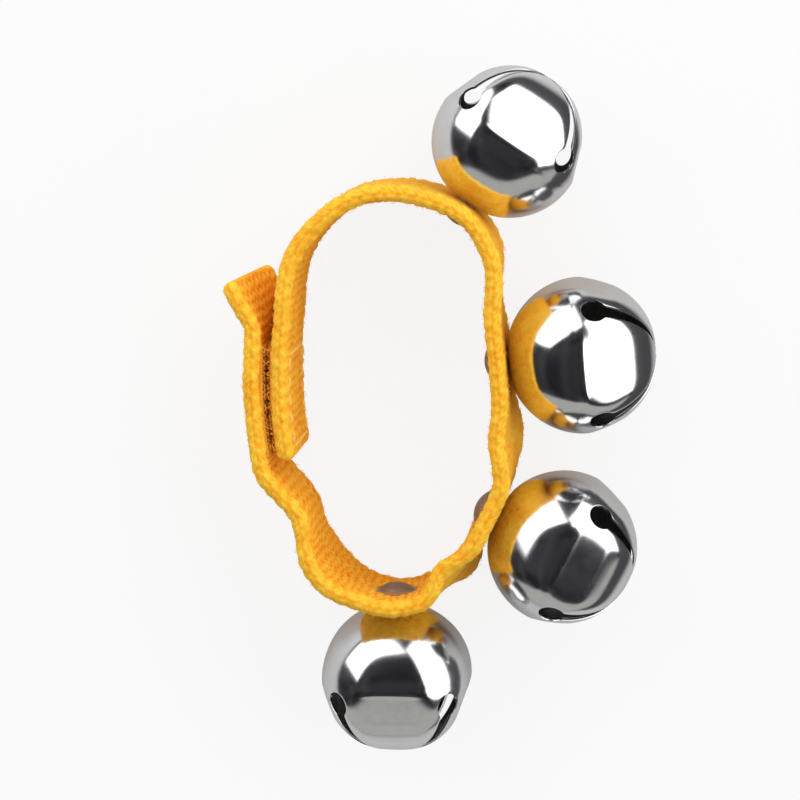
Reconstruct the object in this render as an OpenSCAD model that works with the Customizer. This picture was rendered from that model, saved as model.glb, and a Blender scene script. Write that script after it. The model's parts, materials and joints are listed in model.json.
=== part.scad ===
// Wrist bells: a webbing strap closed by hook-and-loop tape, with four riveted jingle bells.
// Millimetres. The origin is the centre of the hand loop, halfway across the webbing,
// and +Z runs along the loop's axis.

/* [Strap] */
// Width of the webbing
strap_w = 25; // [18:0.5:28]
// Thickness of the webbing
strap_t = 2.8; // [1.6:0.1:3.4]
// Across the hand loop, middle of the webbing, short way
loop_short = 42; // [38:0.5:56]
// Across the hand loop, middle of the webbing, long way
loop_long = 77; // [70:0.5:100]

/* [Closure] */
// Length of webbing past the hook tape that a finger pulls on
tip_len = 10.5; // [8:0.5:18]
// How far the end of the pull tip stands away from the layer below
tip_flare = 3.4; // [0:0.1:6]
// Length of each piece of hook-and-loop tape
tape_len = 20; // [14:0.5:26]
// Webbing left bare along each edge of the tape
tape_margin = 1.5; // [1:0.1:4]
// Thickness of the loop tape
loop_tape_t = 1.1; // [0.6:0.1:1.6]
// Thickness of the hook tape
hook_tape_t = 1.0; // [0.6:0.1:1.6]
// Air left between the two tapes where they face each other
tape_gap = 0.3; // [0.2:0.05:0.6]
// Length over which the outer layer climbs onto the inner one
step_len = 12; // [9:0.5:16]

/* [Stitching] */
// Diameter of the sewing thread
thread_d = 0.7; // [0.4:0.05:1]
// Length of one stitch
stitch_len = 2.2; // [1.5:0.1:3.5]
// Distance from one stitch to the next
stitch_pitch = 3.0; // [2:0.1:5]
// Distance of the seam from the edge of the tape
seam_inset = 1.4; // [1:0.1:3]
// Air between a stitch and the webbing that it lies on
stitch_gap = 0.05; // [0.02:0.01:0.1]

/* [Bells] */
// Distance along the webbing from its inner end to bell 1
bell_1_at = 74; // [64:0.5:84]
// Distance along the webbing from its inner end to bell 2
bell_2_at = 104.5; // [95:0.5:115]
// Distance along the webbing from its inner end to bell 3
bell_3_at = 133.5; // [125:0.5:145]
// Distance along the webbing from its inner end to bell 4
bell_4_at = 159.5; // [150:0.5:175]
// Turn of each bell on its rivet, from a slot that faces along +Z
bell_turn = [43, 39, 44, 45]; // [0:1:90]
// Width of a bell across the middle of two opposite petals
bell_w = 28; // [24:0.5:32]
// How far a bell's corners, where the slots are, stand out past the middle of its petals
corner_swell = 1; // [0.5:0.1:2]
// Height from the flat of the crown to the widest section
crown_h = 12.6; // [10:0.1:15]
// Diameter of the flat on the crown
crown_flat_d = 8; // [6:0.5:10]
// Height from the widest section to the tip of the petals
petal_h = 15.2; // [13:0.1:17]
// Radius of the rounded end of the petals
petal_tip_r = 12.9; // [10:0.1:13.5]
// Angle above the middle of that round end at which the straight part of a petal meets it
tip_angle = 28; // [20:1:40]
// Depth below the widest section of the shoulder where a petal turns inwards
shoulder_drop = 1.5; // [0.5:0.1:3]
// Thickness of the sheet metal
bell_wall = 0.5; // [0.4:0.05:0.9]
// Diameter of the round hole that ends each slot
slot_hole_d = 4.7; // [3:0.1:6]
// Distance of that hole past the widest section
slot_hole_z = 4.3; // [2:0.1:7]
// Width of a slot beside its round hole
slot_w = 2.8; // [1.5:0.1:3.5]
// Width of a slot at the tip of the petals
slot_tip_w = 1.2; // [0.8:0.1:2]
// Diameter of the loose pellet
pellet_d = 8; // [7:0.1:10]
// Air between a pellet at rest and the sheet metal under it
pellet_gap = 0.3; // [0.2:0.05:0.6]

/* [Rivets] */
// Diameter of the rivet shank
rivet_d = 3.2; // [2.4:0.1:4]
// Diameter of the domed rivet head
rivet_head_d = 7; // [5.5:0.1:8.5]
// Height of the domed rivet head
rivet_head_h = 1.4; // [0.8:0.1:2]
// Diameter of the spread end of the rivet
clinch_d = 5; // [4.6:0.1:6.4]
// Height of the spread end of the rivet
clinch_h = 0.9; // [0.6:0.1:1.4]
// Diameter of the hollow in the spread end
clinch_bore_d = 2; // [1.2:0.1:2.2]
// Diameter of the washer on the webbing
strap_washer_d = 9; // [8:0.1:11]
// Diameter of the washer inside the bell
crown_washer_d = 7; // [6.6:0.1:8.5]
// Thickness of both washers
washer_t = 0.6; // [0.4:0.05:1]
// How far the riveting presses the washer into the webbing
washer_sink = 0.4; // [0.2:0.05:0.8]
// Clearance round the rivet in the holes that it passes through
rivet_gap = 0.1; // [0.05:0.01:0.2]
// Clearance at each side of the crown, so that the bell swivels
swivel_gap = 0.15; // [0.1:0.01:0.3]

/* [Hidden] */
$fn = 64;

// Shape of the hand loop, clockwise from the inner end, in halves of the loop's two widths.
LOOP_SHAPE = [
    [-0.93, -0.26], [-0.99, 0.02], [-0.98, 0.36], [-0.88, 0.72], [-0.45, 0.97], [0.05, 1.025], [0.575, 0.935],
    [0.835, 0.74], [0.86, 0.46], [0.92, 0.18], [0.975, -0.3], [0.845, -0.53], [0.46, -0.87], [0.02, -0.98],
    [-0.44, -0.91], [-0.71, -0.76], [-0.83, -0.55]
];
CORNERS = len(LOOP_SHAPE);
STEPS = 12;           // samples between two points of the loop's shape
GRAIN = 2;            // length of one flat of the bent webbing
BIG = 100;            // longer than any cut needs
LOOP_REACH = 0.5;     // half of the length over which the loop's heading is taken
WEBBING_REACH = 0.2;  // half of the length over which the webbing's heading is taken
CORNER_RISE = 0.3;    // how far the round of the bell's corners passes over the petals' tip
WEBBING_COLOUR = [1, 0.66, 0.08];
TAPE_COLOUR = [0.93, 0.55, 0.06];
THREAD_COLOUR = [0.98, 0.74, 0.2];
CHROME_COLOUR = [0.8, 0.81, 0.83];
STEEL_COLOUR = [0.6, 0.61, 0.63];

// The closed middle line of the webbing: a cubic through the shape's points.
function corner(i) = let (p = LOOP_SHAPE[(i + CORNERS) % CORNERS]) [p.x * loop_short / 2, p.y * loop_long / 2];
function cubic(a, b, c, d, t) =
    0.5 * (2 * b + (c - a) * t + (2 * a - 5 * b + 4 * c - d) * t * t + (3 * b - a - 3 * c + d) * t * t * t);
function loop_point(u) = let (i = floor(u)) cubic(corner(i - 1), corner(i), corner(i + 1), corner(i + 2), u - i);

// Arc length along that line, and the place at an arc length.
SAMPLES = [for (i = [0 : CORNERS * STEPS]) loop_point(i / STEPS)];
function run(i, sum = 0, list = []) =
    i == len(SAMPLES) ? list :
    let (s = i == 0 ? 0 : sum + norm(SAMPLES[i] - SAMPLES[i - 1])) run(i + 1, s, concat(list, [[s, i / STEPS]]));
LENGTHS = run(0);
loop_len = LENGTHS[len(LENGTHS) - 1][0];
function wrap(s) = s - loop_len * floor(s / loop_len);
function middle(s) = loop_point(lookup(wrap(s), LENGTHS));
function unit(v) = v / norm(v);
function heading(s) = unit(middle(s + LOOP_REACH) - middle(s - LOOP_REACH));
function outward(s) = let (h = heading(s)) [-h.y, h.x];

// The outer layer leaves the loop, climbs over the inner end and flares at its tip.
layer_step = strap_t + loop_tape_t + hook_tape_t + tape_gap;
tape_lead = 1;        // webbing between the end of the climb and the tape
flap_at = loop_len - step_len;
flap_flat_at = loop_len;
tip_at = flap_flat_at + 2 * tape_lead + tape_len;
strap_end = tip_at + tip_len;
function ease(t) = let (c = min(1, max(0, t))) c * c * (3 - 2 * c);
function lift(s) =
    layer_step * ease((s - flap_at) / step_len) + tip_flare * pow(max(0, s - tip_at) / tip_len, 2);
function webbing(s) = middle(s) + outward(s) * lift(s);
function webbing_heading(s) = unit(webbing(s + WEBBING_REACH) - webbing(s - WEBBING_REACH));
function webbing_outward(s) = let (h = webbing_heading(s)) [-h.y, h.x];
function webbing_facing(s) = let (n = webbing_outward(s)) atan2(n.y, n.x);

// The two tapes, and the arc lengths at which the webbing under them starts a new run of flats.
tape_w = strap_w - 2 * tape_margin;
loop_tape_at = tape_lead;
hook_tape_at = flap_flat_at + tape_lead;
loop_tape_run = [loop_tape_at, loop_tape_at + tape_len];
hook_tape_run = [hook_tape_at, hook_tape_at + tape_len];
band_run = concat([0], loop_tape_run, [flap_at]);
flap_run = concat([flap_at], hook_tape_run, [strap_end]);

// Arc lengths of the flats from one end of a run to the other, without the last.
function flats(from, to) =
    let (count = ceil((to - from) / GRAIN)) [for (i = [0 : count - 1]) from + (to - from) * i / count];

// A strip of the webbing's own curve along a run of arc lengths, between two depths from its middle.
module strip(run, low, high, width) {
    last = len(run) - 1;
    stops = [each [for (k = [1 : last]) each flats(run[k - 1], run[k])], run[last]];
    below = [for (s = stops) webbing(s) + webbing_outward(s) * low];
    above = [for (i = [len(stops) - 1 : -1 : 0]) webbing(stops[i]) + webbing_outward(stops[i]) * high];
    linear_extrude(height = width, center = true) polygon(concat(below, above));
}

// Puts its children on the webbing at an arc length, with local +Z pointing out of the loop.
module on_webbing(s) {
    p = webbing(s);
    translate([p.x, p.y, 0]) rotate([0, 90, webbing_facing(s)]) children();
}

bell_at = [bell_1_at, bell_2_at, bell_3_at, bell_4_at];

module on_seat(i) {
    on_webbing(bell_at[i]) children();
}

// Depths along a rivet, from the middle of the webbing outwards.
washer_top = -strap_t / 2 + washer_sink;
head_top = washer_top - washer_t;
crown_z = strap_t / 2 + swivel_gap;
crown_washer_z = crown_z + bell_wall + swivel_gap;
clinch_z = crown_washer_z + washer_t;
hole_d = rivet_d + 2 * rivet_gap;

module seat_cuts() {
    for (i = [0 : 3]) on_seat(i) {
        translate([0, 0, -strap_t]) cylinder(d = hole_d, h = 2 * strap_t);
        translate([0, 0, washer_top - strap_t]) cylinder(d = strap_washer_d + 2 * rivet_gap, h = strap_t);
    }
}

module strap_band() {
    color(WEBBING_COLOUR) difference() {
        strip(band_run, -strap_t / 2, strap_t / 2, strap_w);
        seat_cuts();
    }
}

module strap_flap() {
    color(WEBBING_COLOUR) strip(flap_run, -strap_t / 2, strap_t / 2, strap_w);
}

module loop_tape() {
    color(TAPE_COLOUR) strip(loop_tape_run, strap_t / 2, strap_t / 2 + loop_tape_t, tape_w);
}

module hook_tape() {
    color(TAPE_COLOUR) strip(hook_tape_run, -strap_t / 2 - hook_tape_t, -strap_t / 2, tape_w);
}

// One stitch lies on the webbing as half a round thread, along local X or across it.
module stitch(turn) {
    rotate([0, 0, turn]) intersection() {
        rotate([0, 90, 0]) cylinder(d = thread_d, h = stitch_len, center = true);
        translate([0, 0, thread_d / 2]) cube([2 * stitch_len, 2 * thread_d, thread_d], center = true);
    }
}

// A box seam round a piece of tape, on the face of the webbing that side points to.
module box_seam(from, side) {
    seam_w = tape_w - 2 * seam_inset;
    seam_len = tape_len - 2 * seam_inset;
    seam_z = side * (strap_t / 2 + stitch_gap);
    along = floor(seam_len / stitch_pitch);
    across = floor(seam_w / stitch_pitch);
    for (i = [0 : along - 1], edge = [-1, 1])
        on_webbing(from + seam_inset + seam_len * (i + 0.5) / along)
            translate([edge * seam_w / 2, 0, seam_z]) mirror([0, 0, side < 0 ? 1 : 0]) stitch(90);
    for (i = [0 : across - 1], end = [0, 1])
        on_webbing(from + seam_inset + seam_len * end)
            translate([seam_w * ((i + 0.5) / across - 0.5), 0, seam_z])
                mirror([0, 0, side < 0 ? 1 : 0]) stitch(0);
}

module loop_tape_stitching() {
    color(THREAD_COLOUR) box_seam(loop_tape_at, -1);
}

module hook_tape_stitching() {
    color(THREAD_COLOUR) box_seam(hook_tape_at, 1);
}

// The ball of the crown runs from the crown's flat to the full width across the slots.
bell_diag = bell_w + 2 * corner_swell;
crown_ball_z = (pow(bell_diag / 2, 2) - pow(crown_h, 2) - pow(crown_flat_d / 2, 2)) / (2 * crown_h);
crown_ball_r = norm([bell_diag / 2, crown_ball_z]);

// The crown's bend in the petals runs from a little outside that flat to the full width across them.
crown_bend_z = (pow(bell_w / 2, 2) - pow(crown_h, 2) - pow(crown_flat_d / 2 + corner_swell, 2)) / (2 * crown_h);
crown_bend_r = norm([bell_w / 2, crown_bend_z]);

// The ball of the corners shapes only the petals' half: it closes from that width at the round holes
// to just over the tip.
corner_top = petal_h + CORNER_RISE;
corner_ball_z =
    (pow(corner_top, 2) - pow(slot_hole_z, 2) - pow(bell_diag / 2, 2)) / (2 * (corner_top - slot_hole_z));
corner_ball_r = corner_top - corner_ball_z;

// The straight taper of a petal runs from a shoulder on that bend to its round tip.
tip_z = petal_h - petal_tip_r;
shoulder = [sqrt(pow(crown_bend_r, 2) - pow(shoulder_drop - crown_bend_z, 2)), shoulder_drop];
tip_start = [petal_tip_r * cos(tip_angle), tip_z + petal_tip_r * sin(tip_angle)];
taper = atan2(shoulder.x - tip_start.x, tip_start.y - shoulder.y);
taper_reach = shoulder * [cos(taper), sin(taper)];
function taper_x(z, shrink) = (taper_reach - shrink - z * sin(taper)) / cos(taper);

// The bend of two opposite petals, as a bar along X; shrink sets it inside the sheet metal.
module petal_bar(shrink) {
    crown_r = crown_bend_r - shrink;
    tip_r = petal_tip_r - shrink;
    low = -crown_h - bell_wall;
    high = petal_h + bell_wall;
    rotate([90, 0, 90]) intersection() {
        linear_extrude(height = BIG, center = true) polygon([
            [-taper_x(low, shrink), low], [taper_x(low, shrink), low],
            [taper_x(high, shrink), high], [-taper_x(high, shrink), high]
        ]);
        union() {
            translate([0, crown_bend_z, 0]) cylinder(r = crown_r, h = BIG, center = true);
            translate([-BIG / 2, crown_bend_z + crown_r * sin(taper), -BIG / 2]) cube(BIG);
        }
        union() {
            translate([0, tip_z, 0]) cylinder(r = tip_r, h = BIG, center = true);
            translate([-BIG / 2, tip_z + tip_r * sin(taper) - BIG, -BIG / 2]) cube(BIG);
        }
    }
}

module bell_form(shrink) {
    intersection() {
        translate([0, 0, crown_ball_z]) sphere(r = crown_ball_r - shrink);
        union() {
            translate([0, 0, corner_ball_z]) sphere(r = corner_ball_r - shrink);
            translate([-BIG / 2, -BIG / 2, -BIG]) cube(BIG);
        }
        translate([-BIG / 2, -BIG / 2, shrink - crown_h]) cube(BIG);
        petal_bar(shrink);
        rotate([0, 0, 90]) petal_bar(shrink);
    }
}

// A keyhole slot, cut outwards from the bell's axis.
module slot_cut() {
    rotate([90, 0, 90]) linear_extrude(height = bell_diag) {
        translate([0, slot_hole_z]) circle(d = slot_hole_d);
        polygon([
            [-slot_w / 2, slot_hole_z], [slot_w / 2, slot_hole_z],
            [slot_tip_w / 2, petal_h + bell_wall], [-slot_tip_w / 2, petal_h + bell_wall]
        ]);
    }
}

equator_z = crown_z + crown_h;

module bell_shell(i) {
    color(CHROME_COLOUR) on_seat(i) translate([0, 0, equator_z]) rotate([0, 0, 45 - bell_turn[i]]) difference() {
        bell_form(0);
        bell_form(bell_wall);
        for (k = [0 : 3]) rotate([0, 0, 45 + 90 * k]) slot_cut();
        translate([0, 0, -crown_h - bell_wall]) cylinder(d = hole_d, h = 3 * bell_wall);
    }
}

// Lying on a table, a pellet rests on the lowest sheet metal.
pellet_drop = bell_w / 2 - bell_wall - pellet_gap - pellet_d / 2;

module pellet(i) {
    color(STEEL_COLOUR) on_seat(i) translate([pellet_drop, 0, equator_z]) sphere(d = pellet_d);
}

module rivet(i) {
    head_r = (pow(rivet_head_d / 2, 2) + pow(rivet_head_h, 2)) / (2 * rivet_head_h);
    clinch_r = (pow(clinch_d / 2, 2) + pow(clinch_h, 2)) / (2 * clinch_h);
    color(CHROME_COLOUR) on_seat(i) difference() {
        union() {
            intersection() {
                translate([0, 0, head_top - rivet_head_h + head_r]) sphere(r = head_r);
                translate([0, 0, head_top - rivet_head_h]) cylinder(d = rivet_head_d, h = rivet_head_h);
            }
            translate([0, 0, head_top]) cylinder(d = rivet_d, h = clinch_z - head_top);
            intersection() {
                translate([0, 0, clinch_z + clinch_h - clinch_r]) sphere(r = clinch_r);
                translate([0, 0, clinch_z]) cylinder(d = clinch_d, h = clinch_h);
            }
        }
        translate([0, 0, clinch_z]) cylinder(d = clinch_bore_d, h = 2 * clinch_h);
    }
}

module washer(outer_d) {
    difference() {
        cylinder(d = outer_d, h = washer_t);
        translate([0, 0, -washer_t]) cylinder(d = hole_d, h = 3 * washer_t);
    }
}

module strap_washer(i) {
    color(STEEL_COLOUR) on_seat(i) translate([0, 0, head_top]) washer(strap_washer_d);
}

module crown_washer(i) {
    color(STEEL_COLOUR) on_seat(i) translate([0, 0, crown_washer_z]) washer(crown_washer_d);
}

strap_band();
strap_flap();
loop_tape();
hook_tape();
loop_tape_stitching();
hook_tape_stitching();
for (i = [0 : 3]) {
    bell_shell(i);
    pellet(i);
    rivet(i);
    strap_washer(i);
    crown_washer(i);
}
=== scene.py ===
"""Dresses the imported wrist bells: a loop of webbing with four chrome jingle bells riveted to it."""

from __future__ import annotations

import itertools
import json
import logging
import math
import random
from bisect import bisect_right
from collections.abc import Iterable, Sequence
from dataclasses import dataclass
from enum import Enum
from functools import cached_property
from typing import Any

import bmesh
import bpy
from mathutils import Matrix, Vector, noise

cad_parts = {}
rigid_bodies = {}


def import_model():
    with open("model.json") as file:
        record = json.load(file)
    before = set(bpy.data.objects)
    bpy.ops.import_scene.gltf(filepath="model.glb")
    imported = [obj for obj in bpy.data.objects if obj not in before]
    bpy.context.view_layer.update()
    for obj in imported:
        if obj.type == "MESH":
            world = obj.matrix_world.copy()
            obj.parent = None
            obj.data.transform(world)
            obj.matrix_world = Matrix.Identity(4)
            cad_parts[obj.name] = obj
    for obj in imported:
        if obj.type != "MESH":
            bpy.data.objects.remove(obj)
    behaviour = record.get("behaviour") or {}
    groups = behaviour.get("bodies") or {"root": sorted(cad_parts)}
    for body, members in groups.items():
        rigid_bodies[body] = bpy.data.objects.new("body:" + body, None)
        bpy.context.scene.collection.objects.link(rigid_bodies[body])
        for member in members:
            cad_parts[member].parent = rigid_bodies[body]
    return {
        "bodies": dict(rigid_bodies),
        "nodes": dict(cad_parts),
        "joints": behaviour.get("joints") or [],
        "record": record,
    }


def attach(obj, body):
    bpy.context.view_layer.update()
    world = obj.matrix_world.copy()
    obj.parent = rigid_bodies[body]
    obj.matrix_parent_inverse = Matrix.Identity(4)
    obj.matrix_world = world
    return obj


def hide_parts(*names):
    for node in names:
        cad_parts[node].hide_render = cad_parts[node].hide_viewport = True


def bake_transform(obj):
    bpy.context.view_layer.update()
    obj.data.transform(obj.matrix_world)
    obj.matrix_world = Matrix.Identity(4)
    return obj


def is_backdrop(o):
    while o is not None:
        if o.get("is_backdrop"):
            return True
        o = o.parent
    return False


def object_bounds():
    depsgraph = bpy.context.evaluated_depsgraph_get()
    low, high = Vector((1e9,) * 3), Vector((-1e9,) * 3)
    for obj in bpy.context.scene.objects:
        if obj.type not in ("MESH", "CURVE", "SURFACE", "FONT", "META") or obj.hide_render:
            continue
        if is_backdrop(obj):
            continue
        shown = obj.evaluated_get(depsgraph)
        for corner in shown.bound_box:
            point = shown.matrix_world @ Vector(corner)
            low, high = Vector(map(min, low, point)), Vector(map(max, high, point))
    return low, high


LOG = logging.getLogger("wrist_bells")
MM = 0.001
WELD = 2e-6
TINY = 1e-6
FLOOR_GAP = 0.3 * MM
BELLS = (1, 2, 3, 4)
WEAVE_MAP = "along_across"
PAINTED_LIGHT_AND_SHADE = "crest"
Colour = tuple[float, float, float]


class Side(Enum):
    """The two faces of the webbing."""

    OUTER = 1
    INNER = -1


def ease(t: float) -> float:
    """A smooth step from 0 to 1."""
    t = min(1.0, max(0.0, t))
    return t * t * (3 - 2 * t)


def between(first: float, second: float, share: float) -> float:
    """The number at a share of the way from the first to the second."""
    return (1 - share) * first + share * second


# Shader building


class Value:
    """A shader value whose arithmetic adds Math nodes."""

    def __init__(self, shader: Shader, socket: bpy.types.NodeSocket) -> None:
        """Wraps an output socket of a shader."""
        self.shader = shader
        self.socket = socket

    def _math(self, operation: str, first: Any, second: Any = 0.0) -> Value:
        """Adds one Math node.

        Args:
            operation: The node's operation.
            first: Its first number or value.
            second: Its second number or value.

        Returns:
            The node's result.
        """
        settings = {"operation": operation}
        return self.shader.add("ShaderNodeMath", settings, {0: first, 1: second})

    def __add__(self, other: Any) -> Value:
        """Adds."""
        return self._math("ADD", self, other)

    def __sub__(self, other: Any) -> Value:
        """Subtracts."""
        return self._math("SUBTRACT", self, other)

    def __rsub__(self, other: Any) -> Value:
        """Subtracts from a number."""
        return self._math("SUBTRACT", other, self)

    def __mul__(self, other: Any) -> Value:
        """Multiplies."""
        return self._math("MULTIPLY", self, other)

    __radd__ = __add__
    __rmul__ = __mul__


class Shader:
    """A node tree of a material or a world, built node by node."""

    def __init__(self, owner: bpy.types.Material | bpy.types.World) -> None:
        """Empties the owner's node tree."""
        owner.use_nodes = True
        self.tree = owner.node_tree
        self.tree.nodes.clear()

    def add(
        self,
        kind: str,
        settings: dict[str, Any] | None = None,
        inputs: dict[Any, Any] | None = None,
        output: Any = 0,
    ) -> Value:
        """Adds one node.

        Args:
            kind: The node's type.
            settings: Its properties, and under "stops" a ramp's places and colours, set before the sockets.
            inputs: Numbers, colours or values for its sockets, by name or index.
            output: The socket to return, by name or index.

        Returns:
            One of the node's outputs.
        """
        node = self.tree.nodes.new(kind)
        for name, value in (settings or {}).items():
            if name == "stops":
                self._set_stops(node.color_ramp, value)
            else:
                setattr(node, name, value)
        for name, value in (inputs or {}).items():
            if isinstance(value, Value):
                self.tree.links.new(value.socket, node.inputs[name])
            else:
                node.inputs[name].default_value = value
        return Value(self, node.outputs[output] if node.outputs else None)

    @staticmethod
    def _set_stops(ramp: bpy.types.ColorRamp, stops: Sequence[tuple[float, Colour]]) -> None:
        """Gives a colour ramp its stops, from left to right."""
        while len(ramp.elements) < len(stops):
            ramp.elements.new(1.0)
        for element, (place, colour) in zip(ramp.elements, stops):
            element.position = place
            element.color = (*colour, 1.0)

    def ramp(self, factor: Value, stops: Sequence[tuple[float, Colour]]) -> Value:
        """Colours a value.

        Args:
            factor: The value, from 0 to 1.
            stops: Places and colours along it.

        Returns:
            The colour.
        """
        return self.add("ShaderNodeValToRGB", {"stops": stops}, {"Fac": factor})

    def mix(self, factor: Any, first: Any, second: Any) -> Value:
        """Mixes two colours.

        Args:
            factor: How much of the second is taken.
            first: A colour.
            second: Another colour.

        Returns:
            The mixed colour.
        """
        inputs = {"Factor": factor, 6: first, 7: second}
        return self.add("ShaderNodeMix", {"data_type": "RGBA"}, inputs, output=2)

    def noise(self, place: Value, scale: float, detail: float = 2.0, roughness: float = 0.5) -> Value:
        """A noise from 0 to 1.

        Args:
            place: The coordinates that it follows.
            scale: Its cells for each unit of them.
            detail: Its octaves.
            roughness: The strength of the finer ones.

        Returns:
            The noise.
        """
        inputs = {"Vector": place, "Scale": scale, "Detail": detail, "Roughness": roughness}
        return self.add("ShaderNodeTexNoise", None, inputs)

    def along(self, place: Value, axis: str) -> Value:
        """One axis of some coordinates."""
        return self.add("ShaderNodeSeparateXYZ", None, {0: place}, output=axis)

    def ray(self, kind: str) -> Value:
        """1 for the rays of one kind, such as "Is Camera Ray", and 0 for others."""
        return self.add("ShaderNodeLightPath", output=kind)

    def stretch(self, place: Value, scale: Sequence[float]) -> Value:
        """Scales coordinates by a factor for each axis."""
        return self.add("ShaderNodeMapping", None, {"Vector": place, "Scale": scale})

    def object_place(self) -> Value:
        """The surface's own coordinates, in metres."""
        return self.add("ShaderNodeTexCoord", output="Object")

    def uv_place(self, name: str) -> Value:
        """Coordinates from one of the piece's UV maps."""
        return self.add("ShaderNodeUVMap", {"uv_map": name})

    def attribute(self, name: str) -> Value:
        """A number that the piece's points carry."""
        return self.add("ShaderNodeAttribute", {"attribute_name": name}, output="Fac")

    def bump(self, height: Value, distance: float, strength: float = 1.0) -> Value:
        """A normal that leans with a height.

        Args:
            height: The height, from 0 to 1.
            distance: The depth of 1, in metres.
            strength: How much of it shows.

        Returns:
            The normal.
        """
        inputs = {"Height": height, "Distance": distance, "Strength": strength}
        return self.add("ShaderNodeBump", None, inputs)

    def surface(self, inputs: dict[str, Any]) -> None:
        """Ends the tree with a plain surface that has these inputs."""
        skin = self.add("ShaderNodeBsdfPrincipled", None, inputs)
        self.add("ShaderNodeOutputMaterial", None, {"Surface": skin})


# Finishes


@dataclass(frozen=True)
class WebbingFinish:
    """Coarse dyed webbing, with painted shade that makes it darker and redder between its loops of yarn, and
    painted light that makes the tops of the loops yellower.
    """

    name: str = "golden_webbing"
    # groove is painted shade for the hollows and crest is painted light for the tops of the loops; yarn is
    # the yarn's own tone.
    painted_groove_shade: Colour = (0.64, 0.16, 0.003)
    yarn: Colour = (0.97, 0.40, 0.012)
    crest: Colour = (1.0, 0.64, 0.05)
    places: tuple[float, float, float] = (0.05, 0.42, 0.95)
    crest_share: float = 0.75
    fibre_share: float = 0.35
    dye_share: float = 0.25
    darken: float = 0.16
    fibre_stretch: tuple[float, float, float] = (2.2, 7.0, 1.0)
    fluff_scale: float = 9.0
    fluff_share: float = 0.3
    dye_scale: float = 120.0
    fibre_depth: float = 0.09 * MM
    sheen: Colour = (1.0, 0.75, 0.25)

    def make(self) -> bpy.types.Material:
        """Makes the material: painted shade in the grooves and painted light on the crests, from the mesh's
        heights; fibres along the yarns; and uneven dye.
        """
        material = bpy.data.materials.new(self.name)
        s = Shader(material)
        weave = s.uv_place(WEAVE_MAP)
        fibres = s.noise(s.stretch(weave, self.fibre_stretch), 1.0, 3.0, 0.6)
        fluff = s.noise(weave, self.fluff_scale, 2.0)
        dye = s.noise(s.object_place(), self.dye_scale, 3.0)
        # The yarn's height from the mesh paints shade towards the groove colour and light towards the crest
        # colour.
        height = s.attribute(PAINTED_LIGHT_AND_SHADE)
        tone = height * self.crest_share + fibres * self.fibre_share + dye * self.dye_share - self.darken
        colour = s.ramp(tone, list(zip(self.places, (self.painted_groove_shade, self.yarn, self.crest))))
        relief = fibres * (1 - self.fluff_share) + fluff * self.fluff_share
        s.surface({
            "Base Color": colour,
            "Roughness": 0.92 - 0.18 * fibres,
            "Specular IOR Level": 0.2,
            "Sheen Weight": 0.12,
            "Sheen Roughness": 0.5,
            "Sheen Tint": (*self.sheen, 1.0),
            "Normal": s.bump(relief, self.fibre_depth, 0.8),
        })
        return material


@dataclass(frozen=True)
class YarnFinish:
    """Dyed yarn of the sewing thread and of the two tapes."""

    name: str
    dark: Colour
    light: Colour
    grain: float = 2500.0
    cloud_size: float = 12.0
    cloud_share: float = 0.3
    depth: float = 0.08 * MM

    def make(self) -> bpy.types.Material:
        """Makes the material: fine fibres in two tones."""
        material = bpy.data.materials.new(self.name)
        s = Shader(material)
        place = s.object_place()
        fibres = s.noise(place, self.grain, 2.0, 0.6)
        cloud = s.noise(place, self.grain / self.cloud_size, 2.0)
        tone = fibres * (1 - self.cloud_share) + cloud * self.cloud_share
        colour = s.ramp(tone, [(0.25, self.dark), (0.75, self.light)])
        s.surface({
            "Base Color": colour,
            "Roughness": 0.85 - 0.15 * fibres,
            "Specular IOR Level": 0.3,
            "Sheen Weight": 0.2,
            "Normal": s.bump(fibres, self.depth, 0.7),
        })
        return material


@dataclass(frozen=True)
class MetalFinish:
    """Plated or plain metal with faint waves from pressing, and smudges and rubbed places."""

    name: str
    tone: Colour
    dull_tone: Colour
    polish: float
    wear: float
    wave_scale: float = 160.0
    wave_depth: float = 0.02 * MM
    smudge_scale: float = 420.0

    def make(self) -> bpy.types.Material:
        """Makes the material: two close tones, uneven gloss and gentle waves."""
        material = bpy.data.materials.new(self.name)
        s = Shader(material)
        place = s.object_place()
        waves = s.noise(place, self.wave_scale, 1.0, 0.3)
        smudges = s.noise(place, self.smudge_scale, 5.0, 0.65)
        colour = s.ramp(smudges, [(0.3, self.tone), (0.8, self.dull_tone)])
        s.surface({
            "Base Color": colour,
            "Metallic": 1.0,
            "Roughness": smudges * self.wear + self.polish,
            "Normal": s.bump(waves, self.wave_depth, 0.6),
        })
        return material


LOOP_PILE = YarnFinish("loop_pile", (0.85, 0.34, 0.012), (0.98, 0.52, 0.04))
HOOK_PLASTIC = YarnFinish("hook_plastic", (0.88, 0.38, 0.02), (0.98, 0.52, 0.04))
SEWING_THREAD = YarnFinish("sewing_thread", (0.95, 0.52, 0.06), (1.0, 0.72, 0.16), grain=3500.0)
BELL_CHROME = MetalFinish(
    "bell_chrome", (0.90, 0.90, 0.91), (0.82, 0.82, 0.83),
    polish=0.1, wear=0.1, wave_scale=110.0, wave_depth=0.05 * MM,
)
BELL_INSIDE = MetalFinish("bell_inside", (0.30, 0.29, 0.28), (0.20, 0.19, 0.18), polish=0.35, wear=0.3)
RIVET_NICKEL = MetalFinish("rivet_nickel", (0.46, 0.45, 0.44), (0.32, 0.31, 0.30), polish=0.34, wear=0.2)
PLAIN_STEEL = MetalFinish(
    "plain_steel", (0.68, 0.68, 0.69), (0.54, 0.54, 0.55),
    polish=0.28, wear=0.25, wave_scale=300.0, wave_depth=0.04 * MM,
)


# The strap's curve


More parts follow.
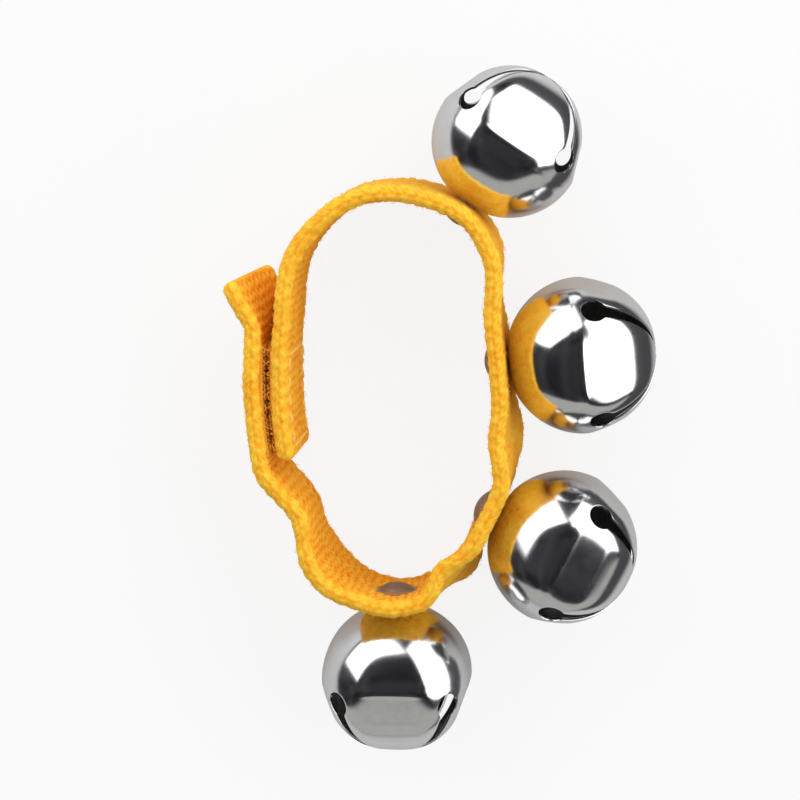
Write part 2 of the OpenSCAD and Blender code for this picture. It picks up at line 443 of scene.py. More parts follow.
@dataclass(frozen=True)
class Station:
    """A place on the webbing's middle line, with the direction that points out of the loop."""

    point: Vector
    outward: Vector

    def at(self, depth: float, across: float) -> Vector:
        """The place at a depth out of the middle and a distance across the webbing."""
        return self.point + self.outward * depth + Vector((0.0, 0.0, across))

    def direction(self, depth: float, across: float) -> Vector:
        """A direction given as an outward and an across share."""
        return self.outward * depth + Vector((0.0, 0.0, across))


@dataclass(frozen=True)
class StrapPath:
    """The webbing's middle line: once round the loop, then over its own inner end to the pull tip."""

    shape: tuple[tuple[float, float], ...] = (
        (-0.93, -0.26), (-0.99, 0.02), (-0.98, 0.36), (-0.88, 0.72), (-0.45, 0.97), (0.05, 1.025),
        (0.575, 0.935), (0.835, 0.74), (0.86, 0.46), (0.92, 0.18), (0.975, -0.3), (0.845, -0.53),
        (0.46, -0.87), (0.02, -0.98), (-0.44, -0.91), (-0.71, -0.76), (-0.83, -0.55),
    )
    short_way: float = 42 * MM
    long_way: float = 77 * MM
    samples: int = 12
    loop_reach: float = 0.5 * MM
    webbing_reach: float = 0.2 * MM
    climb: float = 12 * MM
    layer_step: float = 5.2 * MM
    tape_lead: float = 1 * MM
    tape_length: float = 20 * MM
    tip_length: float = 10.5 * MM
    tip_flare: float = 3.4 * MM

    def _corner(self, i: int) -> Vector:
        """A point of the loop's shape."""
        x, y = self.shape[i % len(self.shape)]
        return Vector((x * self.short_way / 2, y * self.long_way / 2, 0.0))

    def _loop_point(self, u: float) -> Vector:
        """The loop's smooth curve, with one unit of u between two points of its shape."""
        i = math.floor(u)
        t = u - i
        a, b, c, d = (self._corner(i + k) for k in (-1, 0, 1, 2))
        bend = 2 * a - 5 * b + 4 * c - d
        twist = 3 * b - a - 3 * c + d
        return 0.5 * (2 * b + (c - a) * t + bend * t**2 + twist * t**3)

    @cached_property
    def _lengths(self) -> list[float]:
        """Arc length at each sample of the loop."""
        points = [self._loop_point(i / self.samples) for i in range(len(self.shape) * self.samples + 1)]
        lengths = [0.0]
        for a, b in zip(points, points[1:]):
            lengths.append(lengths[-1] + (b - a).length)
        return lengths

    @property
    def loop_length(self) -> float:
        """Once round the loop."""
        return self._lengths[-1]

    @property
    def flap_start(self) -> float:
        """Where the outer layer starts to climb over the inner end."""
        return self.loop_length - self.climb

    @property
    def tip_start(self) -> float:
        """Where the pull tip starts."""
        return self.loop_length + 2 * self.tape_lead + self.tape_length

    @property
    def end(self) -> float:
        """The end of the pull tip."""
        return self.tip_start + self.tip_length

    def _middle(self, s: float) -> Vector:
        """The loop's curve at an arc length."""
        s %= self.loop_length
        k = min(max(bisect_right(self._lengths, s) - 1, 0), len(self._lengths) - 2)
        low, high = self._lengths[k], self._lengths[k + 1]
        return self._loop_point((k + (s - low) / (high - low)) / self.samples)

    def _lift(self, s: float) -> float:
        """How far the webbing stands out of the loop's curve."""
        flare = max(0.0, s - self.tip_start) / self.tip_length
        return self.layer_step * ease((s - self.flap_start) / self.climb) + self.tip_flare * flare**2

    @staticmethod
    def _left_of(step: Vector) -> Vector:
        """The unit direction that points out of the loop beside a step along it."""
        return Vector((-step.y, step.x, 0.0)).normalized()

    def _webbing(self, s: float) -> Vector:
        """The webbing's middle at an arc length."""
        step = self._middle(s + self.loop_reach) - self._middle(s - self.loop_reach)
        return self._middle(s) + self._left_of(step) * self._lift(s)

    def station(self, s: float) -> Station:
        """The webbing's place and facing at an arc length."""
        step = self._webbing(s + self.webbing_reach) - self._webbing(s - self.webbing_reach)
        return Station(self._webbing(s), self._left_of(step))


# Mesh helpers


def finish_piece(name: str, bm: bmesh.types.BMesh, material: bpy.types.Material) -> bpy.types.Object:
    """Makes an object of a finished bmesh, shaded smooth.

    Args:
        name: The piece's name.
        bm: Its mesh, which is freed.
        material: Its finish.

    Returns:
        The object, at the origin.
    """
    mesh = bpy.data.meshes.new(name)
    for face in bm.faces:
        face.smooth = True
    bm.to_mesh(mesh)
    bm.free()
    mesh.materials.append(material)
    piece = bpy.data.objects.new(name, mesh)
    bpy.context.scene.collection.objects.link(piece)
    LOG.info("%s: %d faces", name, len(mesh.polygons))
    return piece


def stand_for(piece: bpy.types.Object, body: str, node: str) -> None:
    """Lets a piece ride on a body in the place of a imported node.

    Args:
        piece: The piece.
        body: The body's name.
        node: The node that it replaces.
    """
    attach(piece, body)
    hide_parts(node)


# The webbing


@dataclass(frozen=True)
class Knit:
    """Rounded loops of yarn in pairs of rows, as one side of the webbing shows them.

    Attributes:
        pitch: Length of a loop along the webbing.
        lean: How far a loop slants across its row, in loops.
        eye: Depth of the hollow in the middle of a loop.
        gap: Depth of the gap between loops.
        rise: Height of the yarn.
        painted_shade: How much darker the face's yarn is painted, which is painted shade.
        part: How far the rows are parted; at 0 the loops join into cross ribs.
        stagger: How far the second row of a pair is set back, in loops.
        crown: Where the back of a loop starts to fall, as a share of half its length.
        foot: Where that fall ends, as the same share.
        hollow: Where the eye ends, as the same share.
        squareness: Power of a loop's outline, which is round at 2.
        give: How far an uneven pull shifts the loops, in loops.
    """

    pitch: float
    lean: float
    eye: float
    gap: float
    rise: float
    painted_shade: float = 0.0
    part: float = 1.0
    stagger: float = 0.5
    crown: float = 0.72
    foot: float = 1.14
    hollow: float = 0.7
    squareness: float = 2.4
    give: float = 0.4

    def height(self, s: float, row_place: float, pull: float) -> float:
        """The height of the yarn.

        Args:
            s: Arc length along the webbing.
            row_place: Place within a pair of rows, from -1 to 1, with the line between them at 0.
            pull: How far the loops are pulled along there.

        Returns:
            0 in the deepest gap to 1 on the back of a loop.
        """
        beside = 2 * min(1.0, abs(row_place)) - 1
        set_back = self.stagger if row_place < 0 else 0.0
        turns = s / self.pitch + self.lean * beside + self.give * pull + set_back
        ahead = 2 * (turns % 1.0) - 1
        power = self.squareness
        out = (abs(ahead) ** power + abs(self.part * beside) ** power) ** (1 / power)
        dip = 1 - ease(out / self.hollow)
        fall = ease((out - self.crown) / (self.foot - self.crown))
        return 1 - self.eye * dip - self.gap * fall


@dataclass(frozen=True)
class SectionPoint:
    """A point round the webbing's section.

    Attributes:
        depth: Depth out of the middle.
        across: Place across the webbing.
        normal: The way its skin faces, as an outward and an across share.
        row_place: Place within a pair of rows of the knit.
        edge: How much it belongs to the chain of loops along the edge, from 0 to 1.
        knit: The knit of its face.
    """

    depth: float
    across: float
    normal: tuple[float, float]
    row_place: float
    edge: float
    knit: Knit


@dataclass(frozen=True)
class Slack:
    """A stretch clear of the bells that leans out of the loop at its low edge.

    Attributes:
        start: Arc length at which it starts.
        end: Arc length at which it ends.
        most: Its lean in the middle, in degrees.
    """

    start: float
    end: float
    most: float

    def lean(self, s: float) -> float:
        """Its lean at an arc length, in radians, which is nothing outside the stretch."""
        share = min(1.0, max(0.0, (s - self.start) / (self.end - self.start)))
        return math.radians(self.most) * math.sin(math.pi * share) ** 2


@dataclass(frozen=True)
class Fibre:
    """A loose fibre: a thin spindle that leaves the yarn and bends.

    Attributes:
        s: Arc length along the webbing.
        root: Where it leaves the yarn.
        way: Its direction and length.
        bend: The way that its tip bends, as a share of its length.
        crest: Height of the yarn that it shows, which sets its painted light and shade.
    """

    s: float
    root: Vector
    way: Vector
    bend: Vector
    crest: float

    def at(self, share: float, turn: float, radius: float) -> Vector:
        """A place on its skin.

        Args:
            share: Share of its length.
            turn: Angle round it.
            radius: Its radius there.

        Returns:
            The place.
        """
        along = self.way.normalized()
        spoke = Matrix.Rotation(turn, 3, along) @ along.orthogonal().normalized()
        return self.root + self.way * share + self.bend * self.way.length * share**2 + spoke * radius


@dataclass
class Webbing:
    """One length of plump webbing: a knitted skin with chain edges, slack stretches and pressed seats."""

    path: StrapPath
    seats: Sequence[Vector]
    finish: bpy.types.Material
    width: float = 24.8 * MM
    thickness: float = 2.5 * MM
    # The knit of the two faces and of the edges, whose chains reach over a share of the last row
    rows: int = 9
    # deepen is painted shade on each face's yarn.
    outer: Knit = Knit(pitch=1.9 * MM, lean=0.35, eye=0.4, gap=0.5, rise=0.22 * MM, painted_shade=0.3)
    inner: Knit = Knit(
        pitch=1.6 * MM, lean=0.25, eye=0.0, gap=0.78, rise=0.36 * MM,
        painted_shade=0.16, part=0.5, stagger=0.0, crown=0.2,
    )
    selvage: Knit = Knit(pitch=2.3 * MM, lean=0.5, eye=0.6, gap=0.62, rise=0.42 * MM)
    selvage_rows: float = 1 / 3
    # The skin's mesh
    ring_step: float = 0.29 * MM
    flat_steps: int = 58
    round_steps: int = 12
    # How uneven the yarn and the edges are, with the length over which each changes
    uneven: float = 4 * MM
    uneven_share: float = 0.3
    lump: float = 1.1 * MM
    lump_share: float = 0.35
    sway: float = 0.35 * MM
    sway_length: float = 9 * MM
    rim_seed: float = 3.0
    fine_sway_seed: float = 7.0
    # The slack stretches beside the bells, and the pressed and sealed ends
    slack: tuple[Slack, ...] = (
        Slack(80 * MM, 99 * MM, -3.0),
        Slack(110 * MM, 128 * MM, 6.0),
        Slack(139 * MM, 154 * MM, 12.0),
        Slack(165 * MM, 184 * MM, -5.0),
        Slack(219 * MM, 240 * MM, -10.0),
    )
    sealed: float = 1.6 * MM
    end_share: float = 0.3
    # The seats that the bells' crowns press into the outer face, and the washers into the inner face
    crown_r: float = 5.6 * MM
    crown_top: float = 1.42 * MM
    crown_fade: float = 2 * MM
    washer_r: float = 4.75 * MM
    washer_top: float = 0.96 * MM
    washer_fade: float = 1.4 * MM
    # The loose fibres: the length of webbing for each one, its sizes, and the limits of its chances
    fuzz_each: float = 0.045 * MM
    fuzz_wire: float = 0.035 * MM
    fuzz_length: float = 0.85 * MM
    fuzz_shortest: float = 0.5
    fuzz_on_edges: float = 0.7
    fuzz_least_out: float = 0.25
    fuzz_ahead: float = 1.2
    fuzz_aside: float = 0.8
    fuzz_bend: float = 0.5
    # fuzz_light raises the fibres' height, so they get more of the painted light than the yarn under them.
    fuzz_light: float = 0.15
    fuzz_tones: int = 40
    fuzz_sides: int = 3
    fuzz_steps: int = 3
    seed: int = 5

    @property
    def girth(self) -> float:
        """Once round the section."""
        return 2 * (self.width - self.thickness) + math.pi * self.thickness

    def _section(self) -> list[SectionPoint]:
        """The points round the section, from the outer face's low edge, with the first one repeated."""
        half = self.thickness / 2
        flat = self.width / 2 - half
        row = 2 * flat / self.rows
        chain = row * self.selvage_rows
        points: list[SectionPoint] = []
        for side, knit in ((Side.OUTER, self.outer), (Side.INNER, self.inner)):
            for i in range(self.flat_steps):
                z = side.value * flat * (2 * i / self.flat_steps - 1)
                place = 2 * ((z + flat) / row % 1.0) - 1
                edge = ease((abs(z) - flat + chain) / chain)
                points.append(SectionPoint(side.value * half, z, (side.value, 0.0), place, edge, knit))
            for i in range(self.round_steps):
                turn = math.pi * i / self.round_steps
                normal = (side.value * math.cos(turn), side.value * math.sin(turn))
                z = side.value * flat + half * normal[1]
                place = 2 * i / self.round_steps - 1
                points.append(SectionPoint(half * normal[0], z, normal, place, 1.0, knit))
        return [*points, points[0]]

    def _sway(self, s: float, rim: float, edge: float) -> float:
        """How far the edges wander.

        Args:
            s: Arc length along the webbing.
            rim: A number of the edge's own.
            edge: How much the point belongs to the edge.

        Returns:
            The distance.
        """
        slow = noise.noise(Vector((s / self.sway_length, 2 * edge, rim)))
        fine = noise.noise(Vector((s / self.uneven, rim, self.fine_sway_seed)))
        return (slow + fine / 2) * self.sway

    def _closed(self, s: float) -> float:
        """How much of its thickness the webbing keeps, which is little at its two pressed and sealed ends."""
        inset = min(s, self.path.end - s) / self.sealed
        return between(self.end_share, 1.0, math.sqrt(1 - (1 - min(1.0, inset)) ** 2))

    def _pressed(self, station: Station, depth: float, across: float) -> float:
        """Presses the skin in where a crown or a washer sits on it.

        Args:
            station: The webbing's place and facing.
            depth: The skin's depth.
            across: Its place across the webbing.

        Returns:
            Its new depth.
        """
        for seat in self.seats:
            away = (station.at(0.0, across) - seat).length
            if depth < 0:
                near = 1 - ease((away - self.washer_r) / self.washer_fade)
                depth = between(depth, max(depth, -self.washer_top), near)
            else:
                near = 1 - ease((away - self.crown_r) / self.crown_fade)
                depth = between(depth, min(depth, self.crown_top), near)
        return depth

    def _place(self, s: float, station: Station, point: SectionPoint) -> tuple[Vector, float]:
        """Where a point of the skin lies.

        Args:
            s: Arc length along the webbing.
            station: The webbing's place and facing there.
            point: Place round the section.

        Returns:
            The place, and the height of the yarn there, lowered by the faces' painted shade.
        """
        rim = math.copysign(self.rim_seed, point.across)
        pull = noise.noise(Vector((s / self.uneven, point.across / self.uneven, 0.0)))
        lump = noise.noise(Vector((s / self.lump, point.across / self.lump, point.depth / self.lump)))
        face = point.knit.height(s, point.row_place, pull)
        chain = self.selvage.height(s + rim * self.uneven, point.row_place, pull)
        height = (1 + self.uneven_share * pull) * between(face, chain, point.edge) + self.lump_share * lump
        rise = height * between(point.knit.rise, self.selvage.rise, point.edge)
        sway = self._sway(s, rim, point.edge)
        depth = point.depth + point.normal[0] * rise + sway * (1 - abs(point.normal[1])) * point.edge
        across = point.across + point.normal[1] * (rise + sway) * point.edge
        closed = self._closed(s)
        depth *= closed
        inset = (1 - closed) * self.thickness / 2
        across -= math.copysign(inset, across) * ease(abs(across) / self.thickness)
        lean = sum(stretch.lean(s) for stretch in self.slack)
        leaned = depth * math.cos(lean) - across * math.sin(lean)
        across = across * math.cos(lean) + depth * math.sin(lean)
        skin = station.at(self._pressed(station, leaned, across), across)
        # The faces get their painted shade; the edges' chains keep the yarn's height.
        return skin, height - (1 - point.edge) * point.knit.painted_shade

    def build(self, name: str, start: float, end: float) -> bpy.types.Object:
        """Builds a stretch of the webbing.

        Args:
            name: The piece's name.
            start: Arc length of one end.
            end: Arc length of the other end.

        Returns:
            The piece.
        """
        section = self._section()
        around = len(section) - 1
        rings = math.ceil((end - start) / self.ring_step)
        stations = [self.path.station(start + (end - start) * k / rings) for k in range(rings + 1)]
        bm = bmesh.new()
        uv = bm.loops.layers.uv.new(WEAVE_MAP)
        crest = bm.verts.layers.float.new(PAINTED_LIGHT_AND_SHADE)
        bmesh.ops.create_grid(bm, x_segments=rings, y_segments=around, size=0.5)
        for face in bm.faces:
            for loop in face.loops:
                along, across = loop.vert.co.x + 0.5, loop.vert.co.y + 0.5
                loop[uv].uv = ((start + (end - start) * along) / MM, across * self.girth / MM)
        for vert in bm.verts:
            k, j = round((vert.co.x + 0.5) * rings), round((vert.co.y + 0.5) * around)
            vert.co, vert[crest] = self._place(start + (end - start) * k / rings, stations[k], section[j])
        bmesh.ops.remove_doubles(bm, verts=bm.verts, dist=WELD)
        ends = [e for e in bm.edges if e.is_boundary]
        bmesh.ops.holes_fill(bm, edges=ends, sides=0)
        for edge in ends:
            edge.smooth = False
        bmesh.ops.recalc_face_normals(bm, faces=bm.faces)
        return finish_piece(name, bm, self.finish)

    def _fibre(self, dice: random.Random, s: float, point: SectionPoint) -> Fibre:
        """Throws one loose fibre.

        Args:
            dice: Where its chances come from.
            s: Arc length of its root.
            point: Place of its root round the section.

        Returns:
            The fibre.
        """
        station = self.path.station(s)
        skin, height = self._place(s, station, point)
        out = station.direction(*point.normal)
        ahead = Vector((0.0, 0.0, 1.0)).cross(station.outward)
        aside = out.cross(ahead)
        way = out * dice.uniform(self.fuzz_least_out, 1.0)
        way += ahead * dice.uniform(-self.fuzz_ahead, self.fuzz_ahead)
        way += aside * dice.uniform(-self.fuzz_aside, self.fuzz_aside)
        bend = ahead * dice.uniform(-self.fuzz_bend, self.fuzz_bend)
        bend += aside * dice.uniform(-self.fuzz_bend, self.fuzz_bend)
        length = self.fuzz_length * dice.uniform(self.fuzz_shortest, 1.0)
        return Fibre(s, skin - out * self.fuzz_wire * 2, way * length, bend, height + self.fuzz_light)

    def fluff(self, name: str, start: float, end: float) -> bpy.types.Object:
        """Builds the loose fibres of a stretch, most of them on the two edges.

        Args:
            name: The piece's name.
            start: Arc length of one end.
            end: Arc length of the other end.

        Returns:
            The piece.
        """
        dice = random.Random(self.seed)
        section = self._section()
        edges = [point for point in section if point.edge > 0.5]
        fibres = []
        for _ in range(int((end - start) / self.fuzz_each)):
            s = dice.uniform(start, end)
            point = dice.choice(edges if dice.random() < self.fuzz_on_edges else section)
            fibres.append(self._fibre(dice, s, point))
        strips = self.fuzz_sides + 1
        last = strips * len(fibres) - 1
        bm = bmesh.new()
        uv = bm.loops.layers.uv.new(WEAVE_MAP)
        crest = bm.verts.layers.float.new(PAINTED_LIGHT_AND_SHADE)
        bmesh.ops.create_grid(bm, x_segments=self.fuzz_steps, y_segments=last, size=0.5)
        rows = {vert: round((vert.co.y + 0.5) * last) for vert in bm.verts}
        joins = [f for f in bm.faces if min(rows[v] for v in f.verts) % strips == self.fuzz_sides]
        for vert, row in rows.items():
            step = round((vert.co.x + 0.5) * self.fuzz_steps)
            number, strip = divmod(row, strips)
            turn = math.tau * (strip % self.fuzz_sides) / self.fuzz_sides
            radius = self.fuzz_wire if 0 < step < self.fuzz_steps else 0.0
            fibre = fibres[number]
            vert.co = fibre.at(step / self.fuzz_steps, turn, radius)
            vert[crest] = fibre.crest
            for loop in vert.link_loops:
                loop[uv].uv = (fibre.s / MM, number % self.fuzz_tones)
        bmesh.ops.delete(bm, geom=joins, context="FACES")
        bmesh.ops.remove_doubles(bm, verts=bm.verts, dist=WELD / 10)
        bmesh.ops.recalc_face_normals(bm, faces=bm.faces)
        return finish_piece(name, bm, self.finish)

    def dress(self) -> None:
        """Builds the band and the flap."""
        band = self.build("webbing_band", 0.0, self.path.flap_start)
        stand_for(band, "strap", "strap_band")
        fuzz = self.fluff("webbing_band_fuzz", 0.0, self.path.flap_start)
        stand_for(fuzz, "strap", "strap_band")
        foot, top = (self.path.station(s).point for s in (self.path.flap_start, self.path.loop_length))
        for make, name in ((self.build, "webbing_flap"), (self.fluff, "webbing_flap_fuzz")):
            piece = make(name, self.path.flap_start, self.path.end)
            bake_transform(piece)
            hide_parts("strap_flap")


# The closure


@dataclass(frozen=True)
class Pile:
    """The bent wires that stand on a tape.

    Attributes:
        radius: Radius of a wire's bend.
        turn: Angle of the bend.
        stray: How far a wire may turn out of line.
    """

    radius: float
    turn: float
    stray: float


@dataclass
class Closure:
    """The hook-and-loop tapes and the box seams that hold them."""

    path: StrapPath
    loop_finish: bpy.types.Material
    hook_finish: bpy.types.Material
    thread_finish: bpy.types.Material
    webbing_t: float = 2.8 * MM
    sink: float = 0.1 * MM
    tape_w: float = 22 * MM
    backing: float = 0.5 * MM
    backing_steps: int = 40
    backing_rim: float = 0.15 * MM
    sharp: float = 1.0
    loops: Pile = Pile(0.6 * MM, math.pi, 1.5)
    hooks: Pile = Pile(0.46 * MM, math.radians(235), 0.5)
    pile_step: float = 0.85 * MM
    pile_wire: float = 0.12 * MM
    pile_sides: int = 5
    pile_bends: int = 6
    pile_shift: float = 0.4
    pile_sizes: tuple[float, float] = (0.7, 1.05)
    thread_d: float = 0.75 * MM
    stitch_len: float = 2.6 * MM
    stitch_pitch: float = 3.0 * MM
    stitch_slant: float = 0.06
    stitch_sides: int = 10
    stitch_rings: int = 12
    seam_inset: float = 1.4 * MM
    seed: int = 11

    def _backing(self, bm: bmesh.types.BMesh, start: float, low: float, high: float) -> None:
        """Adds the woven backing of a tape to an empty mesh.

        Args:
            bm: The mesh.
            start: Arc length of the tape's start.
            low: Depth of its lower face.
            high: Depth of its upper face.
        """
        bmesh.ops.create_cube(bm, size=1.0)
        edges = [e for e in bm.edges if abs((e.verts[0].co - e.verts[1].co).x) > 0.5]
        bmesh.ops.subdivide_edges(bm, edges=edges, cuts=self.backing_steps - 1, use_grid_fill=True)
        for vert in bm.verts:
            station = self.path.station(start + (vert.co.x + 0.5) * self.path.tape_length)
            depth = low + (high - low) * (vert.co.z + 0.5)
            vert.co = station.at(depth, vert.co.y * self.tape_w)
        bmesh.ops.recalc_face_normals(bm, faces=bm.faces)
        rim = [e for e in bm.edges if e.calc_face_angle(0.0) > self.sharp]
        bmesh.ops.bevel(
            bm, geom=rim, offset=self.backing_rim, affect="EDGES", segments=2, profile=0.5, material=-1,
            clamp_overlap=True,
        )

    def _wire(self, pile: Pile) -> bmesh.types.BMesh:
        """Makes one bent wire of a pile, at the origin, with local Z out of the tape."""
        bm = bmesh.new()
        ring = bmesh.ops.create_circle(
            bm, cap_ends=True, radius=self.pile_wire, segments=self.pile_sides,
            matrix=Matrix.Translation((pile.radius, 0.0, 0.0)),
        )["verts"]
        bmesh.ops.spin(
            bm, geom=[*bm.faces, *ring], cent=(0.0, 0.0, 0.0), axis=(0.0, -1.0, 0.0),
            angle=pile.turn, steps=self.pile_bends,
        )
        return bm

    def _stand(self, s: float, depth: float, across: float, side: Side, twist: float) -> Matrix:
        """The frame of something that stands on the webbing.

        Args:
            s: Arc length.
            depth: Depth from the middle of the webbing.
            across: Distance across it.
            side: The face that it stands on.
            twist: Turn about its own upright axis.

        Returns:
            A matrix with local Z out of that face and local X along the webbing at no twist.
        """
        station = self.path.station(s)
        up = station.outward * side.value
        along = Vector((station.outward.y, -station.outward.x, 0.0))
        frame = Matrix((along, up.cross(along), up)).transposed().to_4x4()
        return Matrix.Translation(station.at(depth, across)) @ frame @ Matrix.Rotation(twist, 4, "Z")

    def _cover(self, bm: bmesh.types.BMesh, start: float, depth: float, side: Side, pile: Pile) -> None:
        """Covers a tape with rows of bent wires.

        Args:
            bm: The mesh to add to.
            start: Arc length of the tape's start.
            depth: Depth of the backing's face.
            side: The way the wires stand.
            pile: The wires.
        """
        dice = random.Random(self.seed)
        shift = self.pile_shift
        wire = self._wire(pile)
        placed = bpy.data.meshes.new("placed_wire")
        along = int(self.path.tape_length / self.pile_step) - 1
        across = int(self.tape_w / self.pile_step) - 1
        for i, j in itertools.product(range(along), range(across)):
            s = start + self.path.tape_length * (i + 0.5 + dice.uniform(-shift, shift)) / along
            z = self.tape_w * ((j + 0.5 + dice.uniform(-shift, shift)) / across - 0.5)
            twist = dice.uniform(-pile.stray, pile.stray) + math.pi * (j % 2)
            size = Matrix.Scale(dice.uniform(*self.pile_sizes), 4)
            copy = wire.copy()
            bmesh.ops.transform(copy, matrix=self._stand(s, depth, z, side, twist) @ size, verts=copy.verts)
            copy.to_mesh(placed)
            copy.free()
            bm.from_mesh(placed)
        wire.free()
        bpy.data.meshes.remove(placed)

    def _tape(
        self, name: str, start: float, side: Side, pile: Pile, finish: bpy.types.Material
    ) -> bpy.types.Object:
        """Builds a tape, its backing sunk a little into the webbing.

        Args:
            name: The piece's name.
            start: Arc length of its start.
            side: The face of the webbing that it is sewn to.
            pile: The wires that it carries.
            finish: Its finish.

        Returns:
            The piece.
        """
        foot = side.value * (self.webbing_t / 2 - self.sink)
        face = side.value * (self.webbing_t / 2 + self.backing)
        bm = bmesh.new()
        self._backing(bm, start, min(foot, face), max(foot, face))
        self._cover(bm, start, face, side, pile)
        return finish_piece(name, bm, finish)

    def _stitch(self, bm: bmesh.types.BMesh, place: Matrix) -> None:
        """Adds one stitch: a short length of thread whose ends dive into the webbing."""
        shape = Matrix.Diagonal((self.stitch_len / 2, self.thread_d / 2, self.thread_d / 2, 1.0))
        bmesh.ops.create_uvsphere(
            bm, u_segments=self.stitch_sides, v_segments=self.stitch_rings, radius=1.0, matrix=place @ shape
        )

    def _box_seam(self, name: str, start: float, side: Side) -> bpy.types.Object:
        """Builds a box seam.

        Args:
            name: The piece's name.
            start: Arc length of the tape's start.
            side: The face of the webbing that it shows on.

        Returns:
            The piece.
        """
        bm = bmesh.new()
        seam_w, seam_len = self.tape_w - 2 * self.seam_inset, self.path.tape_length - 2 * self.seam_inset
        depth = side.value * (self.webbing_t / 2 + self.sink)
        first = start + self.seam_inset
        along, across = int(seam_len / self.stitch_pitch), int(seam_w / self.stitch_pitch)
        for i, edge in itertools.product(range(along), (-1, 1)):
            s = first + seam_len * (i + 0.5) / along
            self._stitch(bm, self._stand(s, depth, edge * seam_w / 2, side, self.stitch_slant * edge))
        for i, s in itertools.product(range(across), (first, first + seam_len)):
            z = seam_w * ((i + 0.5) / across - 0.5)
            self._stitch(bm, self._stand(s, depth, z, side, math.pi / 2 + self.stitch_slant))
        return finish_piece(name, bm, self.thread_finish)

    def dress(self) -> None:
        """Builds the tapes with their pile, and the seams."""
        loop_start, hook_start = self.path.tape_lead, self.path.loop_length + self.path.tape_lead
        loops = self._tape("loop_tape_pile", loop_start, Side.OUTER, self.loops, self.loop_finish)
        stand_for(loops, "strap", "loop_tape")
        hooks = self._tape("hook_tape_hooks", hook_start, Side.INNER, self.hooks, self.hook_finish)
        stand_for(hooks, "flap", "hook_tape")
        inner = self._box_seam("loop_tape_seam", loop_start, Side.INNER)
        stand_for(inner, "strap", "loop_tape_stitching")
        outer = self._box_seam("hook_tape_seam", hook_start, Side.OUTER)
        stand_for(outer, "flap", "hook_tape_stitching")


# The bells


@dataclass(frozen=True)
class Seat:
    """Where a bell is riveted on the webbing."""

    point: Vector
    outward: Vector

    def frame(self) -> Matrix:
        """A frame on the seat with local Z out of the loop and local X down."""
        down = Vector((0.0, 0.0, -1.0))
        columns = Matrix((down, self.outward.cross(down), self.outward)).transposed().to_4x4()
        return Matrix.Translation(self.point) @ columns


